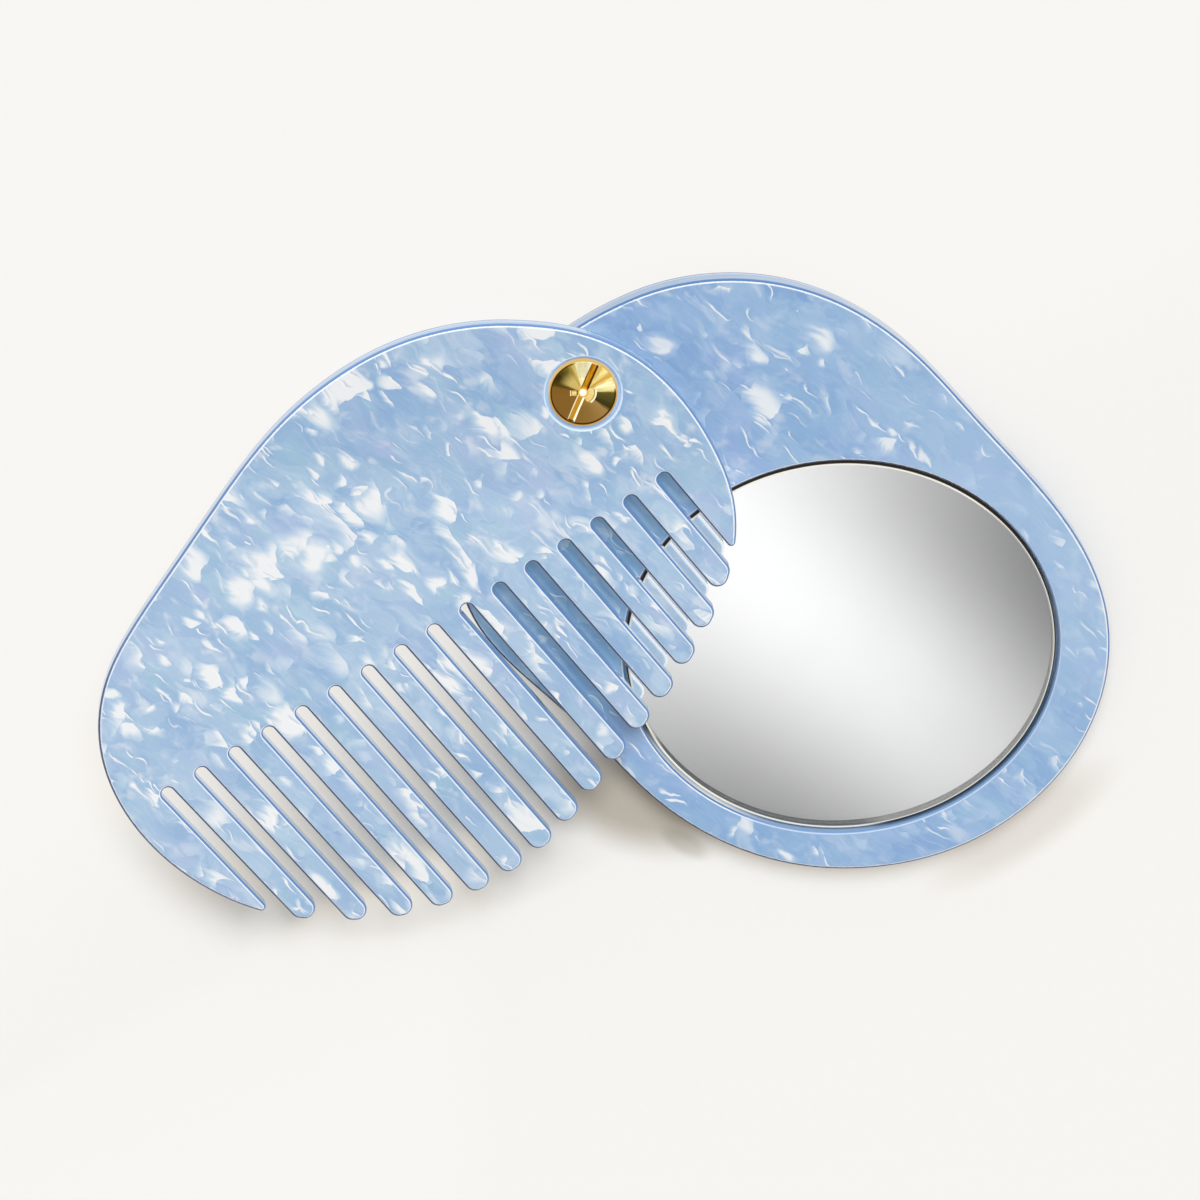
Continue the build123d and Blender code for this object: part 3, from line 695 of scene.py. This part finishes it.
# ---------------------------------------------------------------- stage


def plane(name, size, centre, mat):
    me = bpy.data.meshes.new(name)
    sx, sy = size[0] / 2, size[1] / 2
    me.from_pydata([(-sx, -sy, 0), (sx, -sy, 0), (sx, sy, 0), (-sx, sy, 0)], [], [(0, 1, 2, 3)])
    me.materials.append(mat)
    o = bpy.data.objects.new(name, me)
    o.location = centre
    bpy.context.scene.collection.objects.link(o)
    return o


# What the open floor looks like, and how much light a white card lying on it would send back.
FLOOR_SEEN = (0.945, 0.930, 0.896)
FLOOR_LIGHT = (1.262, 1.256, 1.243)
FLOOR_WARM = ((1.20, 1.0), (1.0, 0.955), (0.70, 0.88))  # where its own part is weak, and where it is strong


def floor_material():
    """A light table. It shines by itself and also takes the lamps' light: the two add up to the same white everywhere,
    but towards the lower right the table's own part is weaker, so that shadows are deeper there. Its own part is warm."""
    t = Tree("floor")
    obj = t.coord.outputs["Object"]
    grain = t.noise(t.v("SCALE", obj, scale=700.0), 1.0, 3.0, 0.5)[0]
    q = t.v("DOT_PRODUCT", obj, (0.5, -0.866, 0.0))
    ox, oy, _ = t.split(obj)
    own = t.m("ADD", t.span(q, -0.013, 0.021, 0.90, 0.14), t.span(q, 0.028, 0.056, 0.0, 0.25))
    own = t.m("ADD", own, t.m("MULTIPLY", t.span(q, 0.0195, 0.026, 0.0, 0.50), t.span(ox, -0.026, -0.012, 1.0, 0.0)))
    glow = [t.m("MULTIPLY", own, t.span(own, 0.20, 0.65, a * b[0], a * b[1])) for a, b in zip(FLOOR_SEEN, FLOOR_WARM)]
    base = [t.m("MULTIPLY", t.m("SUBTRACT", a, g), 1 / e) for a, g, e in zip(FLOOR_SEEN, glow, FLOOR_LIGHT)]
    # painted shade: the ground under the comb's slots is tinted a little browner
    spot = t.span(t.v("LENGTH", t.v("SUBTRACT", obj, (PIVOT.x - 0.035, PIVOT.y - 0.0425, 0.0))), 0.0375, 0.0405, 1.0, 0.0)
    spot = t.m("MULTIPLY", spot, t.span(q, -0.012, 0.016))
    tint = [t.m("ADD", 1.0, t.m("MULTIPLY", spot, k)) for k in (0.015, 0.0, -0.03)]

    def painted_shadow(centre, along, size, depth):
        """A painted soft shadow on the table: centre and size in metres, along its long direction, depth what it takes
        away.
        """
        dx, dy = t.m("SUBTRACT", ox, centre[0]), t.m("SUBTRACT", oy, centre[1])
        u = t.m("DIVIDE", t.m("ADD", t.m("MULTIPLY", dx, along[0]), t.m("MULTIPLY", dy, along[1])), size[0])
        w = t.m("DIVIDE", t.m("SUBTRACT", t.m("MULTIPLY", dy, along[0]), t.m("MULTIPLY", dx, along[1])), size[1])
        far = t.m("SQRT", t.m("ADD", t.m("MULTIPLY", u, u), t.m("MULTIPLY", w, w)))
        w = t.span(far, 0.50, 1.50, 1.0, 0.0)
        return [t.m("SUBTRACT", 1.0, t.m("MULTIPLY", w, d)) for d in depth]

    # painted shadows: between the comb's tips and the frame, by the frame's lower right, two faint ones below the
    # comb's tips, and one by the frame's lower left
    for shade in (
        painted_shadow((0.0046, -0.0324), (0.94, -0.34), (0.0123, 0.0064), (0.44, 0.48, 0.54)),
        painted_shadow((0.0618, -0.0371), (0.82, 0.57), (0.0130, 0.0040), (0.14, 0.17, 0.20)),
        painted_shadow((-0.0330, -0.0508), (1.0, 0.03), (0.0090, 0.0024), (0.05, 0.055, 0.06)),
        painted_shadow((-0.0120, -0.0445), (0.93, 0.365), (0.0130, 0.0030), (0.05, 0.055, 0.06)),
        painted_shadow((0.0123, -0.0392), (0.85, -0.53), (0.0035, 0.0015), (0.22, 0.23, 0.26)),
    ):
        tint = [t.m("MULTIPLY", a, b) for a, b in zip(tint, shade)]
    base = [t.m("MULTIPLY", b, k) for b, k in zip(base, tint)]
    glow = [t.m("MULTIPLY", g, k) for g, k in zip(glow, tint)]
    fine = t.span(grain, 0.3, 0.7, 0.995, 1.005)
    t.principled(
        Base_Color=t.xyz(*[t.m("MULTIPLY", c, fine) for c in base]),
        Roughness=0.9,
        Specular_IOR_Level=0.0,
        Emission_Color=t.xyz(*glow),
        Emission_Strength=1.0,
    )
    return t.mat


floor = plane("floor", (12.0, 12.0), (0.0, 0.0, -0.02 * MM), floor_material())


def card(name, size, centre, gain, shader):
    """A glowing card that only reflections see."""
    t = Tree(name)
    e = t.node("ShaderNodeEmission")
    t.put(e.inputs["Color"], shader(t))
    t.put(e.inputs["Strength"], gain)
    t.t.links.new(e.outputs[0], t.out.inputs[0])
    o = plane(name, size, centre, t.mat)
    o.visible_camera = False
    o.visible_diffuse = False
    o.visible_shadow = False
    return o


# The mirror and the faces look past the top light: the card fades from white to grey across the mirror.
CARD_H = 0.60


def seen_at(x, y, z=1.6 * MM):
    """Where the reflection of that point of the mirror falls on the card."""
    k = (CARD_H - z) / (EYE.z - z)
    return Vector((x + (x - EYE.x) * k, y + (y - EYE.y) * k, CARD_H))


SPREAD = 1.0 + CARD_H / EYE.z  # the card's picture is seen that much smaller in the mirror
FADE_GAIN = 1.11  # the silver and the glass keep back a tenth


def fade(t):
    mid = seen_at(OVAL_MID.x, OVAL_MID.y)
    x, y, _ = t.split(t.v("SUBTRACT", t.coord.outputs["Object"], (mid.x - CARD_MID.x, mid.y - CARD_MID.y, 0.0)))
    x = t.m("MULTIPLY", x, 1 / (0.031 * SPREAD))
    y = t.m("MULTIPLY", y, 1 / (0.028 * SPREAD))
    # u runs across the light band, from the lower left to the upper right, and w along it
    turn = 0.776
    w = t.m("ADD", t.m("MULTIPLY", x, -math.sin(turn)), t.m("MULTIPLY", y, math.cos(turn)))
    w = t.m("MAXIMUM", -1.3, t.m("MINIMUM", 1.25, w))
    w2 = t.m("MULTIPLY", w, w)
    u = t.m("ADD", t.m("ADD", t.m("MULTIPLY", x, math.cos(turn)), t.m("MULTIPLY", y, math.sin(turn))), 0.0217)
    u = t.m("ADD", u, t.m("MULTIPLY", w2, 0.02))
    far = t.m("ABSOLUTE", u)
    right = t.m("EXPONENT", t.m("MULTIPLY", t.m("POWER", far, 2.371), -2.663))
    left = t.m("EXPONENT", t.m("MULTIPLY", t.m("POWER", far, 1.949), -2.001))
    side = t.m("GREATER_THAN", u, 0.0)
    glow = t.m("ADD", t.m("MULTIPLY", right, side), t.m("MULTIPLY", left, t.m("SUBTRACT", 1.0, side)))
    base = t.m("ADD", t.m("ADD", 0.293, t.m("MULTIPLY", w, 0.297)), t.m("MULTIPLY", w2, 0.1435))
    peak = t.m("ADD", t.m("ADD", 0.6165, t.m("MULTIPLY", w, -0.143)), t.m("MULTIPLY", w2, -0.227))
    level = t.m("MULTIPLY", t.m("ADD", base, t.m("MULTIPLY", glow, peak)), FADE_GAIN)
    return t.xyz(level, level, level)


CARD_MID = Vector((0.10, -0.16 - 0.35, CARD_H))
card("top_light", (1.6, 0.70), CARD_MID, 1.0, fade)


def arc_card(name, radius, tilt, turn, gain):
    """Part of a dome that only reflections see: tilt is its range from straight up, turn its range about Z, in degrees."""
    t = Tree(name)
    x, y, z = t.split(t.v("NORMALIZE", t.coord.outputs["Object"]))
    around = t.m("ARCTAN2", y, x)
    soft = t.m("MULTIPLY", t.span(around, math.radians(turn[0]), math.radians(turn[0] + 30)), t.span(around, math.radians(turn[1] - 30), math.radians(turn[1]), 1.0, 0.0))
    e = t.node("ShaderNodeEmission")
    t.put(e.inputs["Color"], t.xyz(soft, soft, soft))
    t.put(e.inputs["Strength"], gain)
    t.t.links.new(e.outputs[0], t.out.inputs[0])
    rows, cols = 8, 40
    pts, faces = [], []
    for i in range(rows + 1):
        p = math.radians(tilt[0] + (tilt[1] - tilt[0]) * i / rows)
        for j in range(cols + 1):
            q = math.radians(turn[0] + (turn[1] - turn[0]) * j / cols)
            pts.append((radius * math.sin(p) * math.cos(q), radius * math.sin(p) * math.sin(q), radius * math.cos(p)))
    for i in range(rows):
        for j in range(cols):
            k = i * (cols + 1) + j
            faces.append((k, k + 1, k + cols + 2, k + cols + 1))
    me = bpy.data.meshes.new(name)
    me.from_pydata(pts, [], faces)
    me.materials.append(t.mat)
    o = bpy.data.objects.new(name, me)
    bpy.context.scene.collection.objects.link(o)
    o.visible_camera = False
    o.visible_diffuse = False
    o.visible_shadow = False
    return o


arc_card("back_light", 1.6, (20, 60), (5, 178), 0.95)

# ---------------------------------------------------------------- light

sun_data = bpy.data.lights.new("key", "SUN")
sun_data.energy = 2.5
sun_data.angle = math.radians(34)
sun_data.color = (1.0, 0.995, 0.985)
sun = bpy.data.objects.new("key", sun_data)
towards = Vector((0.04, math.sin(math.radians(33)), math.cos(math.radians(33)))).normalized()
sun.visible_glossy = False
sun.rotation_euler = towards.to_track_quat("Z", "Y").to_euler()
bpy.context.scene.collection.objects.link(sun)

world = bpy.data.worlds.new("studio")
bpy.context.scene.world = world
world.use_nodes = True
wt = world.node_tree
bg = wt.nodes["Background"]
wc = wt.nodes.new("ShaderNodeTexCoord")
ws = wt.nodes.new("ShaderNodeSeparateXYZ")
wt.links.new(wc.outputs["Generated"], ws.inputs[0])


def wmath(op, a, b=None):
    n = wt.nodes.new("ShaderNodeMath")
    n.operation = op
    for i, v in enumerate((a, b)):
        if isinstance(v, bpy.types.NodeSocket):
            wt.links.new(v, n.inputs[i])
        elif v is not None:
            n.inputs[i].default_value = v
    return n.outputs[0]


def wspan(v, a, b, c, d):
    n = wt.nodes.new("ShaderNodeMapRange")
    n.interpolation_type = "SMOOTHSTEP"
    wt.links.new(v, n.inputs["Value"])
    for k, x in zip(("From Min", "From Max", "To Min", "To Max"), (a, b, c, d)):
        n.inputs[k].default_value = x
    return n.outputs[0]


# an unlit opening in the ceiling, right above the object
gap = wmath("MULTIPLY", wspan(wmath("ABSOLUTE", ws.outputs[0]), 0.34, 0.38, 1.0, 0.0), wspan(ws.outputs[2], 0.5, 0.6, 0.0, 1.0))
gap = wmath("MULTIPLY", gap, wspan(ws.outputs[1], -0.315, -0.300, 0.0, 1.0))
gap = wmath("MULTIPLY", gap, wspan(ws.outputs[1], 0.20, 0.24, 1.0, 0.0))
level = wmath("ADD", 0.62, wmath("MULTIPLY", gap, -0.47))
mixer = wt.nodes.new("ShaderNodeCombineXYZ")
for i, k in enumerate((1.0, 0.995, 0.985)):
    wt.links.new(wmath("MULTIPLY", level, k), mixer.inputs[i])
wt.links.new(mixer.outputs[0], bg.inputs["Color"])
bg.inputs["Strength"].default_value = 1.0

scene = bpy.context.scene
scene.view_settings.view_transform = "Standard"
scene.view_settings.look = "None"
scene.view_settings.exposure = 0.0
scene.view_settings.gamma = 1.0

# ---------------------------------------------------------------- camera

cam_data = bpy.data.cameras.new("camera")
cam_data.sensor_width = 36.0
cam_data.sensor_fit = "HORIZONTAL"
cam_data.lens = 36.0 * DIST / (1200 / 6.9 * MM)
cam_data.clip_start = 0.05
cam_data.clip_end = 100.0
cam = bpy.data.objects.new("camera", cam_data)
m = Matrix.Identity(4)
for i, axis in enumerate((RIGHT, UP, BACK)):
    for j in range(3):
        m[j][i] = axis[j]
m.translation = EYE
cam.matrix_world = m
scene.collection.objects.link(cam)
scene.camera = cam
